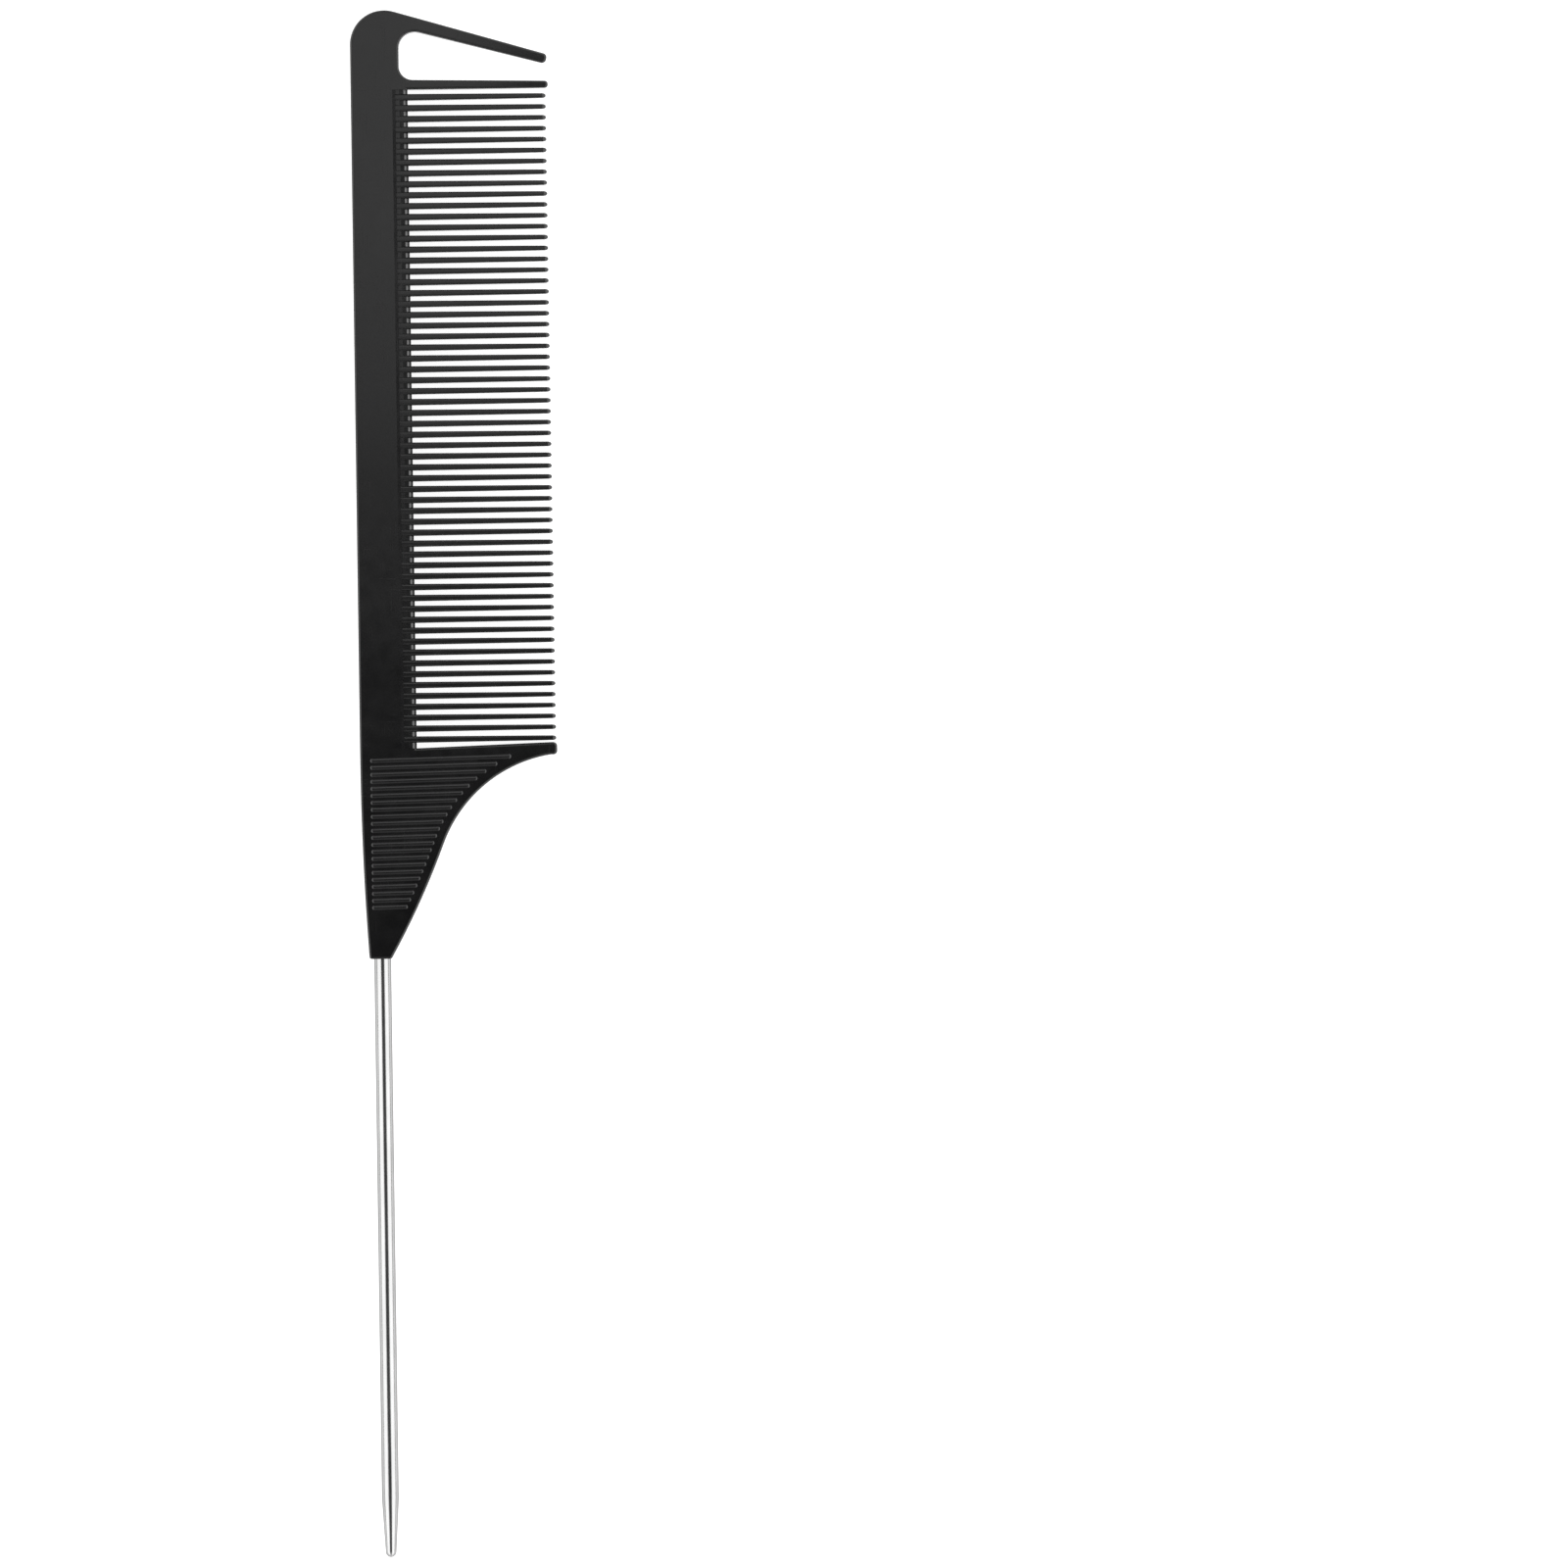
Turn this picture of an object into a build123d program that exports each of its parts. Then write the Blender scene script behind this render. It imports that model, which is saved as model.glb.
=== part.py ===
from build123d import *
import os
from math import cos, radians, sin, sqrt, tan

# A hairdresser's rat tail comb: one carbon-filled plastic moulding, with a parting hook, a spine,
# fine teeth and a ribbed grip, moulded around the root of a round steel tail. Sizes are in mm.
#
# The comb lies flat. Its length runs along Y with the hook end at +Y, its teeth point along +X, and
# its thickness is along Z. Sizes are written as "across", from the straight back edge towards the
# tooth tips, and "down", from the top of the hook end towards the tail's tip.

# Overall sizes
LENGTH = 240.0
WIDTH = 30.6
THICKNESS = 4.0
EDGE_ROUND = 0.35

# Hook end: a slanted parting arm over an open slot, with the upper end tooth below it
CORNER_ROUND = 5.3
ARM_TOP_AT_BACK = -1.765
ARM_TOP_SLOPE = 16.25
ARM_LOWER_AT_BACK = 0.7
ARM_LOWER_SLOPE = 14.7
ARM_TIP_UPPER = 30.58
ARM_TIP_LOWER = 30.22
ARM_TIP_ROUND = 0.66
SLOT_WALL = 7.5
SLOT_UPPER_ROUND = 2.5
SLOT_LOWER_ROUND = 2.2
END_TOOTH_TOP_AT_BACK = 10.71
END_TOOTH_SLOPE = 1.0
END_TOOTH_TIP_ROUND = 0.52

# Thinning towards the tips of the arm and end tooth, and towards the tip of the grip's heel
ARM_FLAT_TO = 8.0
ARM_TIP_HALF = 0.9
HEEL_FLAT_TO = 20.0
HEEL_TIP_HALF = 1.4

# Row of fine teeth between the upper end tooth and the heel
ROW_TOP = 12.35
ROW_BOTTOM = 114.55
ROW_MIDDLE = (ROW_TOP + ROW_BOTTOM) / 2
GULLET = 8.8
TOOTH_COUNT = 60
TOOTH_PITCH = 1.689
FIRST_TOOTH = 13.54
FIRST_TOOTH_TIP = 30.27
LAST_TOOTH_TIP = 30.5

# One fine tooth: its width and thickness at the root and the shoulder, and its bullet-shaped tip
TOOTH_ROOT_WIDTH = 1.02
TOOTH_ROOT_THICKNESS = 3.7
TOOTH_SHOULDER_WIDTH = 0.73
TOOTH_SHOULDER_THICKNESS = 1.8
TOOTH_TIP_LENGTH = 0.55
TOOTH_TIP_STATIONS = (0.5, 0.8, 0.95)
TOOTH_CORNER_SHARE = 0.3
TOOTH_START = 6.2

# Recess that the teeth rise from, on both faces: a ramp and a small step down to the webs between
# the teeth, which fall away gently and then steeply to a narrow land along the mould's parting line
RAMP_START = 6.45
RAMP_SLOPE = 7.0
STEP_TOP = 6.9
STEP_FOOT = 6.95
WEB_HALF = 1.66
WEB_FLAT_TO = 7.55
WEB_BROW = 8.2
WEB_BROW_HALF = 1.58
LAND_START = 8.64
LAND_HALF = 0.12

# Grip: a heel level with the tooth tips, a swept lower edge and a narrow end around the tail
HEEL_TOP_SLOPE = 1.85
HEEL_LOWER_CORNER = 115.82
HEEL_TIP_ROUND = 0.6
SWEEP_START = (29.6, 115.8)
SWEEP_ANGLE = 8.5
SWEEP_END = (12.8, 129.35)
GRIP_END = 147.15
GRIP_END_BACK = 1.03
GRIP_END_FRONT = 4.45
GRIP_END_ROUND = 0.4
BACK_CURVE_START = 115.4

# Low rounded ribs on both faces of the grip
RIB_COUNT = 22
RIB_PITCH = 1.086
FIRST_RIB = 116.4
RIB_TILT = 1.1
RIB_WIDTH = 0.66
RIB_HEIGHT = 0.1
RIB_BURIED = 0.03
RIB_RADIUS = (RIB_WIDTH ** 2 / 4 + RIB_HEIGHT ** 2) / (2 * RIB_HEIGHT)
RIB_BACK_MARGIN = 1.9
RIB_SWEEP_MARGIN = 1.7

# Steel tail
TAIL_ACROSS = 3.03
TAIL_RADIUS = 1.31
TAIL_ROOT = 128.0
TAIL_ROOT_CHAMFER = 0.3
TAIL_TAPER_LENGTH = 9.1
TAIL_TIP_RADIUS = 0.83
GROOVE_DEPTH = 0.22
GROOVE_WIDTH = 1.0
GROOVE_COUNT = 5
GROOVE_PITCH = 3.6

# Where the moulding is divided: roots of the arm and end tooth, and the line between those two
ARM_ROOT = 11.5
ARM_AND_END_TOOTH_DIVIDE = 9.7
CLEAR = 5.0


def at(across, down):
    """A point of the comb, from its distances across and down."""
    return (across, -down)


def arm_top(across):
    """How far down the parting arm's top edge lies at a distance across."""
    return ARM_TOP_AT_BACK + across * tan(radians(ARM_TOP_SLOPE))


def arm_lower(across):
    """How far down the parting arm's lower edge lies at a distance across."""
    return ARM_LOWER_AT_BACK + across * tan(radians(ARM_LOWER_SLOPE))


def end_tooth_top(across):
    """How far down the upper end tooth's top edge lies at a distance across."""
    return END_TOOTH_TOP_AT_BACK + across * tan(radians(END_TOOTH_SLOPE))


def heel_top(across):
    """How far down the heel's upper edge lies at a distance across."""
    return ROW_BOTTOM - (across - GULLET) * tan(radians(HEEL_TOP_SLOPE))


def swept_edge():
    """The grip's lower edge: a hollow sweep under the heel, then a nearly straight flank."""
    start_direction = (-cos(radians(SWEEP_ANGLE)), -sin(radians(SWEEP_ANGLE)))
    sweep = TangentArc(at(*SWEEP_START), at(*SWEEP_END), tangent=start_direction)
    flank = TangentArc(at(*SWEEP_END), at(GRIP_END_FRONT, GRIP_END), tangent=sweep % 1)
    return sweep + flank


def moulding_outline():
    """The moulding seen flat, without its fine teeth."""
    top_corner = at(0, arm_top(0))
    arm_tip_upper = at(ARM_TIP_UPPER, arm_top(ARM_TIP_UPPER))
    arm_tip_lower = at(ARM_TIP_LOWER, arm_lower(ARM_TIP_LOWER))
    slot_upper = at(SLOT_WALL, arm_lower(SLOT_WALL))
    slot_lower = at(SLOT_WALL, end_tooth_top(SLOT_WALL))
    end_tip_upper = at(WIDTH, end_tooth_top(WIDTH))
    end_tip_lower = at(WIDTH, ROW_TOP)
    heel_upper = at(WIDTH, heel_top(WIDTH))
    heel_lower = at(WIDTH, HEEL_LOWER_CORNER)
    end_front = at(GRIP_END_FRONT, GRIP_END)
    end_back = at(GRIP_END_BACK, GRIP_END)
    back_start = at(0, BACK_CURVE_START)
    hook_and_row = Polyline(
        back_start, top_corner, arm_tip_upper, arm_tip_lower, slot_upper, slot_lower,
        end_tip_upper, end_tip_lower, at(GULLET, ROW_TOP), at(GULLET, ROW_BOTTOM),
        heel_upper, heel_lower, at(*SWEEP_START),
    )
    grip_end = Line(end_front, end_back)
    grip_back = TangentArc(back_start, end_back, tangent=(0, -1))
    outline = make_face(hook_and_row + swept_edge() + grip_end + grip_back)
    corner_rounds = (
        (top_corner, CORNER_ROUND),
        (arm_tip_upper, ARM_TIP_ROUND),
        (arm_tip_lower, ARM_TIP_ROUND),
        (slot_upper, SLOT_UPPER_ROUND),
        (slot_lower, SLOT_LOWER_ROUND),
        (end_tip_upper, END_TOOTH_TIP_ROUND),
        (end_tip_lower, END_TOOTH_TIP_ROUND),
        (heel_upper, HEEL_TIP_ROUND),
        (heel_lower, HEEL_TIP_ROUND),
        (end_front, GRIP_END_ROUND),
        (end_back, GRIP_END_ROUND),
    )
    for corner, radius in corner_rounds:
        vertex = outline.vertices().sort_by_distance(Vector(*corner))[0]
        outline = fillet(vertex, radius)
    return outline


def thinning_block(flat_to, tip_half, down_from, down_to):
    """A length of the plate's side profile: flat from the back, then curving in to the tips."""
    half = THICKNESS / 2
    behind = -CLEAR
    beyond = WIDTH + CLEAR
    upper = TangentArc((flat_to, half), (WIDTH, tip_half), tangent=(1, 0))
    lower = TangentArc((flat_to, -half), (WIDTH, -tip_half), tangent=(1, 0))
    flat = Polyline((flat_to, half), (behind, half), (behind, -half), (flat_to, -half))
    tip = Polyline((WIDTH, tip_half), (beyond, tip_half), (beyond, -tip_half), (WIDTH, -tip_half))
    section = make_face(upper + lower + flat + tip)
    return extrude(Plane.XZ.offset(down_from) * section, down_to - down_from)


def rim_edges(plate):
    """The long edges between a plate's two faces and its side walls, but not those of its seam."""
    rim = ShapeList()
    for wall in plate.faces():
        is_upright = abs(wall.normal_at().Z) < 0.01
        is_seam = abs(wall.center().Y + ROW_MIDDLE) < 0.01
        if is_upright and not is_seam:
            rim += [edge for edge in wall.edges() if (edge @ 0).Z * (edge @ 1).Z > 0]
    return rim


def rounded_plate(flat_to, tip_half, down_from, down_to):
    """The hook half or the grip half of the moulding's plate, thinned and with rounded edges."""
    plate = extrude(moulding_outline(), THICKNESS / 2, both=True)
    plate &= thinning_block(flat_to, tip_half, down_from, down_to)
    return fillet(rim_edges(plate), EDGE_ROUND)


def pocket():
    """The recess on the upper face, between the spine's flat face and the ends of the webs."""
    half = THICKNESS / 2
    behind = RAMP_START - CLEAR
    ramp_rise = tan(radians(RAMP_SLOPE))
    ramp_top = (behind, half + CLEAR * ramp_rise)
    step_top = (STEP_TOP, half - (STEP_TOP - RAMP_START) * ramp_rise)
    above = 2 * THICKNESS
    beyond = GULLET + CLEAR
    section = Polyline(
        (behind, above), ramp_top, step_top, (STEP_FOOT, WEB_HALF), (WEB_FLAT_TO, WEB_HALF),
        (WEB_BROW, WEB_BROW_HALF), (LAND_START, LAND_HALF), (beyond, LAND_HALF), (beyond, above),
        close=True,
    )
    return extrude(Plane.XZ.offset(ROW_TOP) * make_face(section), ROW_BOTTOM - ROW_TOP)


def tooth_section(across, width, thickness):
    """A tooth's rounded section at a distance across, square to the tooth."""
    square_to_tooth = Plane((across, 0, 0), x_dir=(0, 1, 0), z_dir=(1, 0, 0))
    return square_to_tooth * RectangleRounded(width, thickness, width * TOOTH_CORNER_SHARE)


def fine_tooth(number):
    """One fine tooth, counted from the hook end, from inside the spine to its rounded tip."""
    tip_growth = (LAST_TOOTH_TIP - FIRST_TOOTH_TIP) / (TOOTH_COUNT - 1)
    shoulder = FIRST_TOOTH_TIP + number * tip_growth - TOOTH_TIP_LENGTH
    sections = [
        tooth_section(TOOTH_START, TOOTH_ROOT_WIDTH, TOOTH_ROOT_THICKNESS),
        tooth_section(shoulder, TOOTH_SHOULDER_WIDTH, TOOTH_SHOULDER_THICKNESS),
    ]
    for station in TOOTH_TIP_STATIONS:
        share = sqrt(1 - station ** 2)
        across = shoulder + station * TOOTH_TIP_LENGTH
        width = share * TOOTH_SHOULDER_WIDTH
        sections.append(tooth_section(across, width, share * TOOTH_SHOULDER_THICKNESS))
    return Pos(0, -FIRST_TOOTH - number * TOOTH_PITCH, 0) * loft(sections, ruled=True)


def rib(number):
    """One rib of the upper face: the cap of a rod with ball ends, most of it below the face."""
    face = THICKNESS / 2
    down = FIRST_RIB + number * RIB_PITCH
    rise = (WIDTH - RIB_BACK_MARGIN) * tan(radians(RIB_TILT))
    level = Line(at(RIB_BACK_MARGIN, down), at(WIDTH, down - rise))
    ends_curve = Wire(swept_edge().edges()).offset_2d(
        RIB_SWEEP_MARGIN, side=Side.RIGHT, closed=False
    )
    depth = face + RIB_HEIGHT - RIB_RADIUS
    start = Vector(*at(RIB_BACK_MARGIN, down), depth)
    crossing = level.intersect(ends_curve)[0]
    end = Vector(crossing.X, crossing.Y, depth)
    from_start = (Align.CENTER, Align.CENTER, Align.MIN)
    rod = Cylinder(RIB_RADIUS, (end - start).length, align=from_start)
    ball = Sphere(RIB_RADIUS)
    above_face = Pos(0, 0, face - RIB_BURIED) * Box(3 * WIDTH, 2 * LENGTH, CLEAR, align=from_start)
    whole = Plane(origin=start, z_dir=end - start) * rod + Pos(start) * ball + Pos(end) * ball
    return whole & (Pos(0, -down, 0) * above_face)


def grip_ribs():
    """All the ribs, on both faces."""
    upper = [rib(number) for number in range(RIB_COUNT)]
    return upper + [mirror(one, about=Plane.XY) for one in upper]


def tail_pin():
    """The steel tail: a grooved root held in the grip, a straight shank, a taper and a domed tip."""
    shoulder = LENGTH - TAIL_TAPER_LENGTH
    dome_start = LENGTH - TAIL_TIP_RADIUS
    side = Polyline(
        (0, -TAIL_ROOT),
        (TAIL_RADIUS - TAIL_ROOT_CHAMFER, -TAIL_ROOT),
        (TAIL_RADIUS, -TAIL_ROOT - TAIL_ROOT_CHAMFER),
        (TAIL_RADIUS, -shoulder),
        (TAIL_TIP_RADIUS, -dome_start),
    )
    dome = TangentArc((TAIL_TIP_RADIUS, -dome_start), (0, -LENGTH), tangent=(0, -1))
    axis = Line((0, -LENGTH), (0, -TAIL_ROOT))
    pin = revolve(make_face(side + dome + axis), Axis.Y)
    groove_floor = Cylinder(TAIL_RADIUS - GROOVE_DEPTH, GROOVE_WIDTH)
    groove = Cylinder(TAIL_RADIUS + CLEAR, GROOVE_WIDTH) - groove_floor
    last_groove = GRIP_END - GROOVE_WIDTH / 2
    for number in range(GROOVE_COUNT):
        station = last_groove - number * GROOVE_PITCH
        pin -= Pos(0, -station, 0) * Rot(90, 0, 0) * groove
    return Pos(TAIL_ACROSS, 0, 0) * pin


def region(across_from, across_to, down_from, down_to):
    """A block that reaches through the whole thickness over part of the comb."""
    size = (across_to - across_from, down_to - down_from)
    middle = at((across_from + across_to) / 2, (down_from + down_to) / 2)
    return Pos(*middle) * Box(*size, THICKNESS + 2 * CLEAR)


def comb_parts():
    """Every node by name: the moulding, divided at its joints to the teeth, and the steel tail."""
    beyond = WIDTH + CLEAR
    spine_region = region(-CLEAR, GULLET, ROW_TOP, ROW_BOTTOM)
    hook_plate = rounded_plate(ARM_FLAT_TO, ARM_TIP_HALF, -CLEAR, ROW_MIDDLE)
    grip_plate = rounded_plate(HEEL_FLAT_TO, HEEL_TIP_HALF, ROW_MIDDLE, GRIP_END + CLEAR)
    recess = pocket()
    lower_recess = mirror(recess, about=Plane.XY)
    bar = (hook_plate + grip_plate) & spine_region
    teeth = [fine_tooth(number) for number in range(TOOTH_COUNT)]
    pin = tail_pin()
    free_teeth_region = region(GULLET, beyond, 0, LENGTH)
    return {
        "hook_head": hook_plate & region(-CLEAR, ARM_ROOT, -CLEAR, ROW_TOP),
        "parting_arm": hook_plate & region(ARM_ROOT, beyond, -CLEAR, ARM_AND_END_TOOTH_DIVIDE),
        "upper_end_tooth": hook_plate & region(ARM_ROOT, beyond, ARM_AND_END_TOOTH_DIVIDE, ROW_TOP),
        "spine": bar - recess - lower_recess + [tooth - free_teeth_region for tooth in teeth],
        "fine_teeth": Compound([tooth & free_teeth_region for tooth in teeth]),
        "grip": grip_plate - spine_region + grip_ribs() - pin,
        "tail_pin": pin,
    }


def centred(parts):
    """The parts moved so that the middle of the comb's underside is the origin."""
    box = Compound(list(parts.values())).bounding_box()
    to_origin = Pos(-box.center().X, -box.center().Y, -box.min.Z)
    return {name: to_origin * part for name, part in parts.items()}


if __name__ == "__main__":
    os.makedirs("parts", exist_ok=True)
    for name, part in centred(comb_parts()).items():
        export_step(part, f"parts/{name}.step")
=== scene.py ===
import bpy
import math
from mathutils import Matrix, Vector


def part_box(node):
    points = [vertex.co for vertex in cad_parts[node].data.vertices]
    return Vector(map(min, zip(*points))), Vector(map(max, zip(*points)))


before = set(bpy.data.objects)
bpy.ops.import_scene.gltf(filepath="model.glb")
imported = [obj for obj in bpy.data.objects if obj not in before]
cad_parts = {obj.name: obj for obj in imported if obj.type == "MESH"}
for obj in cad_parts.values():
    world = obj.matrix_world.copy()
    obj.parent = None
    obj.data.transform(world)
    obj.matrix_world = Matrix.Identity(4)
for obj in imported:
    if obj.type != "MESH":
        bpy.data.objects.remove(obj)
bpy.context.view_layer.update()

# The view: straight down on the comb, which lies well left of the middle of the picture. Lengths are
# in metres, apart from the sensor's width in millimetres.
CAMERA_HEIGHT = 3.0
FIELD_WIDTH = 0.2432
SENSOR_WIDTH = 36.0
CAMERA_ASIDE = 0.0504
CAMERA_ALONG = -0.0009
COMB_LEAN = math.radians(0.82)

# Tent light: a dark opening straight above the comb, bright panels at its two sides and softer ones
# beyond its two ends. Each panel fades in between two tangents of the angle from straight up.
OPENING_LIGHT = 0.115
SIDE_FROM = 0.30
SIDE_FULL = 0.58
SIDE_LIGHT = 3.0
END_FROM = 0.2
END_FULL = 0.42
END_LIGHT = 0.72

# Below the panels, by the height of a direction (1 is straight up): a dim horizon, and a white skyline
# that carries on the floor. A lower direction than LOWEST_UP counts as that high in the tangents.
PANELS_FROM = 0.06
PANELS_FULL = 0.30
HORIZON_LIGHT = 0.32
SKYLINE_LIGHT = 1.25
SKYLINE_TOP = 0.02
LOWEST_UP = 0.02

# One soft box over the hook end, with its near edge this far along the comb
BOX_HEIGHT = 0.45
BOX_WIDTH = 0.14
BOX_LENGTH = 0.30
BOX_EDGE = 0.057
BOX_LIGHT = 1.06

# Floor: pale, and lit from within like a light table
FLOOR_GLOW = 0.93
FLOOR_GREY = 0.35
FLOOR_HALF = 30.0

# Plastic and steel: two shades each, and the depth of their fine relief
PLASTIC_DARK = (0.0006, 0.0006, 0.0007)
PLASTIC_LIGHT = (0.0018, 0.0018, 0.0019)
GRAIN_DEPTH = 0.00003
STEEL_DARK = (0.38, 0.38, 0.38)
STEEL_LIGHT = (0.43, 0.43, 0.43)
DRAWN_DEPTH = 0.00001


def new_material(name):
    """A node material with nothing but its shader and output."""
    material = bpy.data.materials.new(name)
    material.use_nodes = True
    nodes = material.node_tree.nodes
    nodes.clear()
    output = nodes.new("ShaderNodeOutputMaterial")
    shader = nodes.new("ShaderNodeBsdfPrincipled")
    material.node_tree.links.new(shader.outputs["BSDF"], output.inputs["Surface"])
    return material, shader


def add_node(tree, kind, **settings):
    """A node with its properties or plain input values set by name."""
    node = tree.nodes.new(kind)
    for name, value in settings.items():
        if name in node.inputs:
            node.inputs[name].default_value = value
        else:
            setattr(node, name, value)
    return node


def noise(tree, where, scale, detail):
    """Soft noise over the coordinates; the scale counts its features along one unit of them."""
    node = add_node(tree, "ShaderNodeTexNoise", Scale=scale, Detail=detail)
    tree.links.new(where, node.inputs["Vector"])
    return node.outputs["Fac"]


def spread(tree, value, low, high, out_low, out_high, curve="LINEAR"):
    """A value carried from one range to another, held at the ends."""
    node = add_node(tree, "ShaderNodeMapRange", interpolation_type=curve)
    tree.links.new(value, node.inputs["Value"])
    ends = {"From Min": low, "From Max": high, "To Min": out_low, "To Max": out_high}
    for name, end in ends.items():
        node.inputs[name].default_value = end
    return node.outputs["Result"]


def combine(tree, kind, *values):
    """One sum over values and plain numbers."""
    node = add_node(tree, "ShaderNodeMath", operation=kind)
    for socket, value in zip(node.inputs, values):
        if isinstance(value, (int, float)):
            socket.default_value = value
        else:
            tree.links.new(value, socket)
    return node.outputs[0]


def stretched(tree, where, x, y, z):
    """The coordinates multiplied along each axis, for marks that are longer one way."""
    node = add_node(tree, "ShaderNodeVectorMath", operation="MULTIPLY")
    tree.links.new(where, node.inputs[0])
    node.inputs[1].default_value = (x, y, z)
    return node.outputs[0]


def two_colours(tree, factor, first, second):
    """A colour between two, by a factor."""
    node = add_node(tree, "ShaderNodeMix", data_type="RGBA")
    tree.links.new(factor, node.inputs[0])
    node.inputs[6].default_value = (*first, 1)
    node.inputs[7].default_value = (*second, 1)
    return node.outputs[2]


def add_relief(tree, shader, height, strength, depth):
    """Fine relief on the surface, from a height between 0 and 1 and its depth."""
    bump = add_node(tree, "ShaderNodeBump", Strength=strength, Distance=depth)
    tree.links.new(height, bump.inputs["Height"])
    tree.links.new(bump.outputs[0], shader.inputs["Normal"])


def comb_plastic():
    """Black carbon-filled nylon: a fine moulded grain, faint flow mottling and hairline scratches."""
    material, shader = new_material("comb_plastic")
    tree = material.node_tree
    where = add_node(tree, "ShaderNodeTexCoord").outputs["Object"]
    mottle = noise(tree, where, 90.0, 3.0)
    patches = noise(tree, where, 420.0, 2.0)
    grain = noise(tree, where, 5200.0, 3.0)
    lengthwise = noise(tree, stretched(tree, where, 5200.0, 160.0, 700.0), 1.0, 1.0)
    crosswise = noise(tree, stretched(tree, where, 240.0, 4600.0, 700.0), 1.0, 1.0)
    long_scratches = spread(tree, lengthwise, 0.68, 0.76, 0, 1)
    cross_scratches = spread(tree, crosswise, 0.7, 0.78, 0, 1)
    worn = combine(tree, "MAXIMUM", long_scratches, cross_scratches)

    shades = spread(tree, combine(tree, "MULTIPLY", mottle, patches), 0.12, 0.42, 0, 1)
    tree.links.new(two_colours(tree, shades, PLASTIC_DARK, PLASTIC_LIGHT), shader.inputs["Base Color"])
    soft = spread(tree, combine(tree, "ADD", mottle, patches), 0.7, 1.3, 0.19, 0.25)
    roughness = combine(tree, "ADD", soft, combine(tree, "MULTIPLY", worn, 0.06))
    tree.links.new(roughness, shader.inputs["Roughness"])
    relief = combine(tree, "SUBTRACT", grain, combine(tree, "MULTIPLY", worn, 0.35))
    shader.inputs["Specular IOR Level"].default_value = 0.5
    add_relief(tree, shader, relief, 0.15, GRAIN_DEPTH)
    return material


def tail_steel():
    """Polished stainless wire: fine drawn lines along it, and faint cloudy patches."""
    material, shader = new_material("tail_steel")
    tree = material.node_tree
    where = add_node(tree, "ShaderNodeTexCoord").outputs["Object"]
    drawn = noise(tree, stretched(tree, where, 9000.0, 45.0, 9000.0), 1.0, 2.0)
    cloudy = noise(tree, stretched(tree, where, 700.0, 160.0, 700.0), 1.0, 2.0)
    shades = spread(tree, cloudy, 0.3, 0.7, 0, 1)
    tree.links.new(two_colours(tree, shades, STEEL_DARK, STEEL_LIGHT), shader.inputs["Base Color"])
    roughness = spread(tree, combine(tree, "ADD", drawn, cloudy), 0.7, 1.3, 0.14, 0.2)
    tree.links.new(roughness, shader.inputs["Roughness"])
    add_relief(tree, shader, drawn, 0.12, DRAWN_DEPTH)
    shader.inputs["Metallic"].default_value = 1
    shader.inputs["Specular Tint"].default_value = (0.35, 0.35, 0.35, 1)
    return material


def floor_white():
    """Pale floor that glows evenly."""
    material, shader = new_material("floor_white")
    shader.inputs["Base Color"].default_value = (FLOOR_GREY, FLOOR_GREY, FLOOR_GREY, 1)
    shader.inputs["Emission Color"].default_value = (1, 1, 1, 1)
    shader.inputs["Emission Strength"].default_value = FLOOR_GLOW
    shader.inputs["Roughness"].default_value = 0.6
    shader.inputs["Specular IOR Level"].default_value = 0.2
    return material


def finish_node(name, material):
    """Gives a CAD node its material."""
    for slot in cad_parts[name].material_slots:
        slot.material = material


def make_floor():
    """A plain floor under the comb."""
    half = FLOOR_HALF
    corners = [(-half, -half, 0), (half, -half, 0), (half, half, 0), (-half, half, 0)]
    mesh = bpy.data.meshes.new("floor")
    mesh.from_pydata(corners, [], [(0, 1, 2, 3)])
    mesh.materials.append(floor_white())
    floor = bpy.data.objects.new("floor", mesh)
    bpy.context.scene.collection.objects.link(floor)


def panel_light(tree, part, up, fade_from, fade_full, light):
    """The light of a pair of panels on both sides of the opening, along one part of the direction."""
    tangent = combine(tree, "DIVIDE", combine(tree, "ABSOLUTE", part), up)
    return spread(tree, tangent, fade_from, fade_full, OPENING_LIGHT, light, "SMOOTHSTEP")


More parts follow.
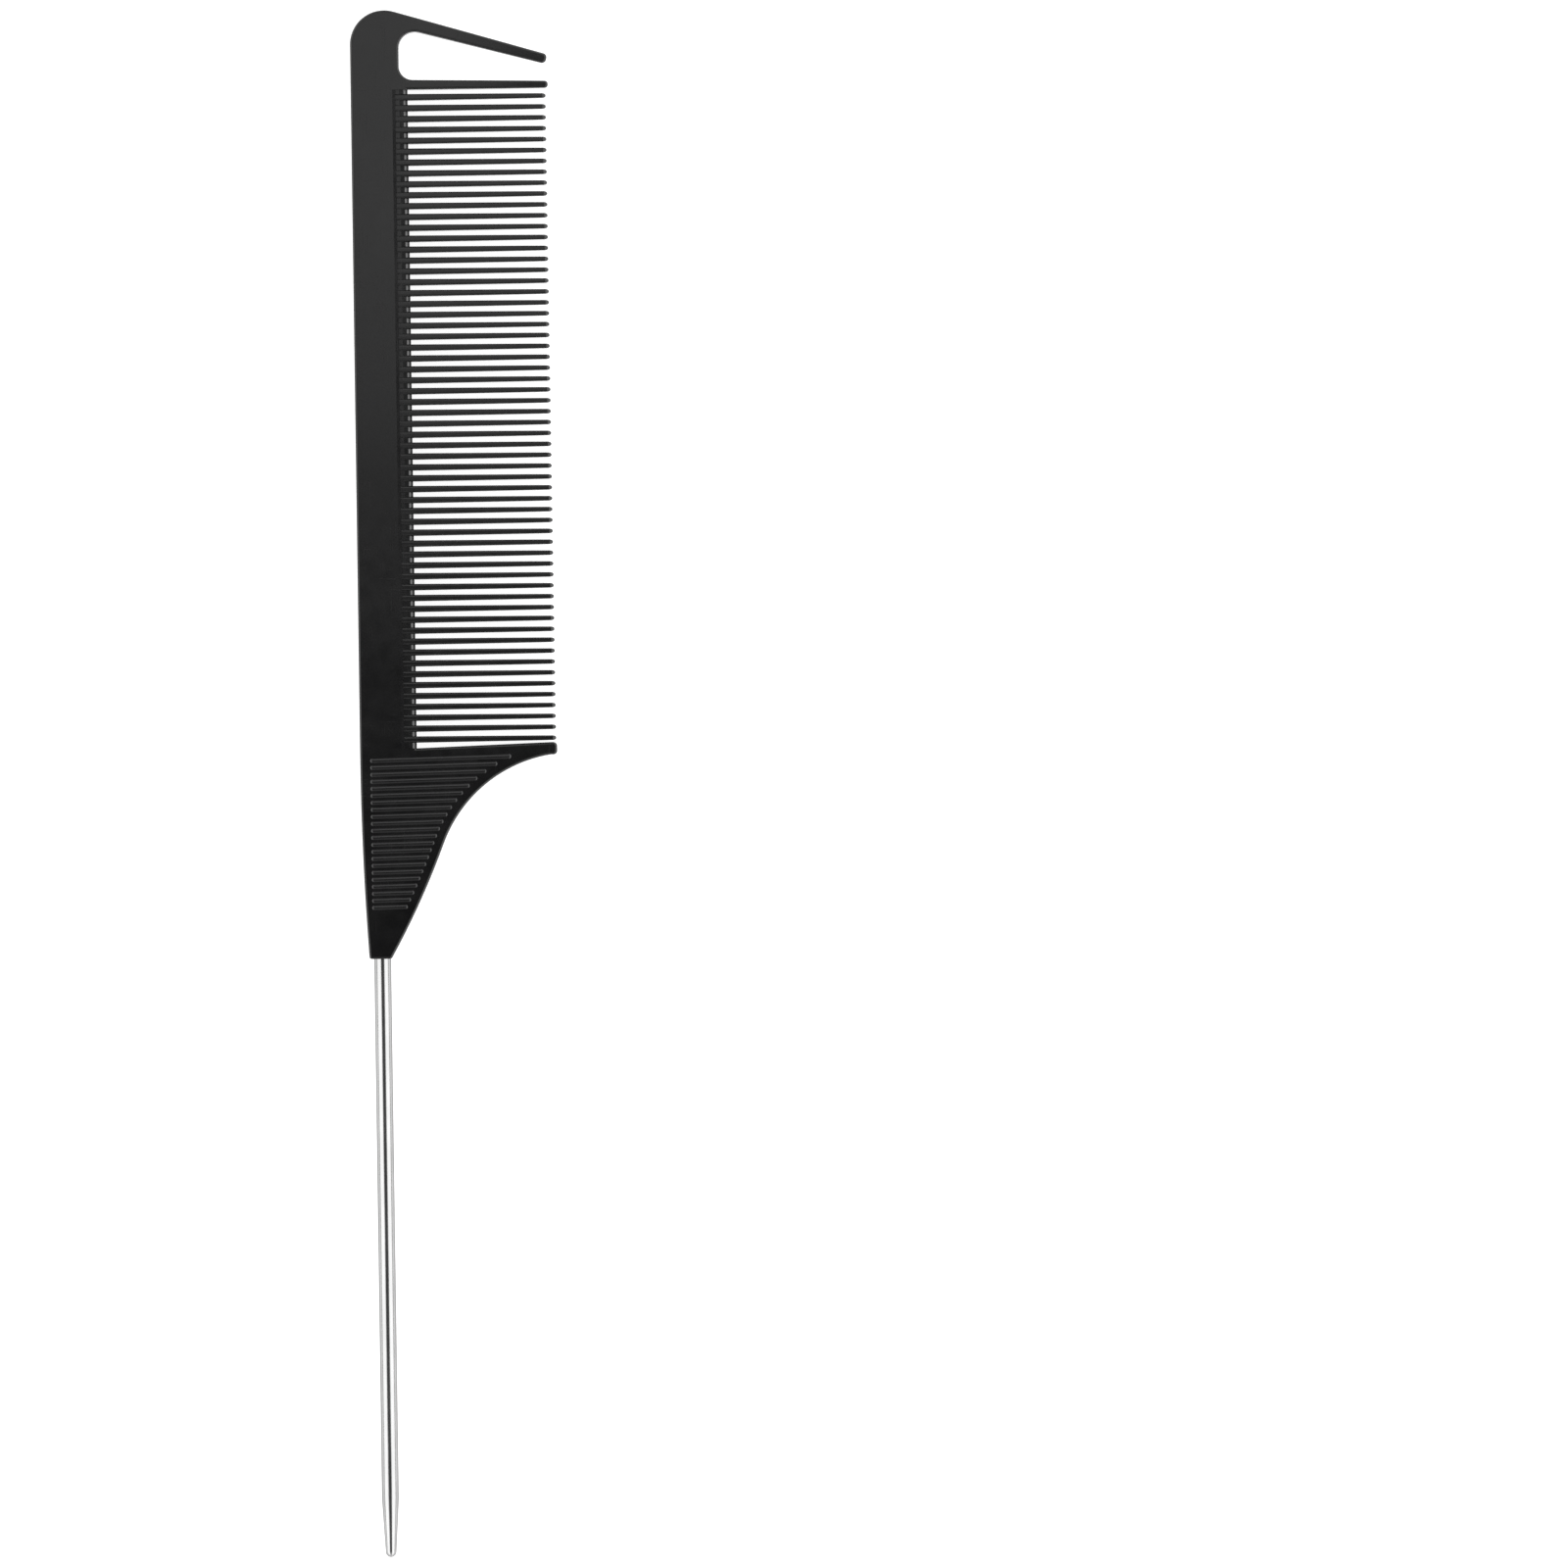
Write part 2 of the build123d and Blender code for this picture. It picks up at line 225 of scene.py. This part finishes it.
def make_world():
    """The white tent around the comb."""
    world = bpy.data.worlds.new("tent")
    bpy.context.scene.world = world
    world.use_nodes = True
    tree = world.node_tree
    tree.nodes.clear()
    output = add_node(tree, "ShaderNodeOutputWorld")
    background = add_node(tree, "ShaderNodeBackground")
    tree.links.new(background.outputs[0], output.inputs[0])
    where = add_node(tree, "ShaderNodeTexCoord")
    direction = add_node(tree, "ShaderNodeSeparateXYZ")
    tree.links.new(where.outputs["Generated"], direction.inputs[0])
    x, y, z = direction.outputs

    up = combine(tree, "MAXIMUM", z, LOWEST_UP)
    sides = panel_light(tree, x, up, SIDE_FROM, SIDE_FULL, SIDE_LIGHT)
    ends = panel_light(tree, y, up, END_FROM, END_FULL, END_LIGHT)
    share = spread(tree, z, PANELS_FROM, PANELS_FULL, 0, 1, "SMOOTHSTEP")
    panels = combine(tree, "MULTIPLY", combine(tree, "MAXIMUM", sides, ends), share)
    skyline = spread(tree, z, SKYLINE_TOP, PANELS_FROM, SKYLINE_LIGHT, HORIZON_LIGHT, "SMOOTHSTEP")
    low = combine(tree, "MULTIPLY", combine(tree, "SUBTRACT", 1, share), skyline)
    tree.links.new(combine(tree, "ADD", panels, low), background.inputs["Strength"])


def make_soft_box():
    """The soft box over the hook end. Cameras don't see it."""
    light = bpy.data.lights.new("soft_box", "AREA")
    light.shape = "RECTANGLE"
    light.size = BOX_WIDTH
    light.size_y = BOX_LENGTH
    light.energy = BOX_LIGHT * math.pi * BOX_WIDTH * BOX_LENGTH
    box = bpy.data.objects.new("soft_box", light)
    box.location = (0, BOX_EDGE + BOX_LENGTH / 2, BOX_HEIGHT)
    box.visible_camera = False
    bpy.context.scene.collection.objects.link(box)


def make_camera():
    """The camera, far above the comb with a long lens."""
    data = bpy.data.cameras.new("camera")
    data.sensor_width = SENSOR_WIDTH
    data.lens = SENSOR_WIDTH * CAMERA_HEIGHT / FIELD_WIDTH
    camera = bpy.data.objects.new("camera", data)
    bpy.context.scene.collection.objects.link(camera)
    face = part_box("spine")[1].z
    camera.location = (CAMERA_ASIDE, CAMERA_ALONG, face + CAMERA_HEIGHT)
    camera.rotation_euler = (0, 0, -COMB_LEAN)
    bpy.context.scene.camera = camera


plastic = comb_plastic()
steel = tail_steel()
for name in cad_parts:
    finish_node(name, steel if name == "tail_pin" else plastic)
make_floor()
make_world()
make_soft_box()
make_camera()
bpy.context.scene.view_settings.view_transform = "Standard"
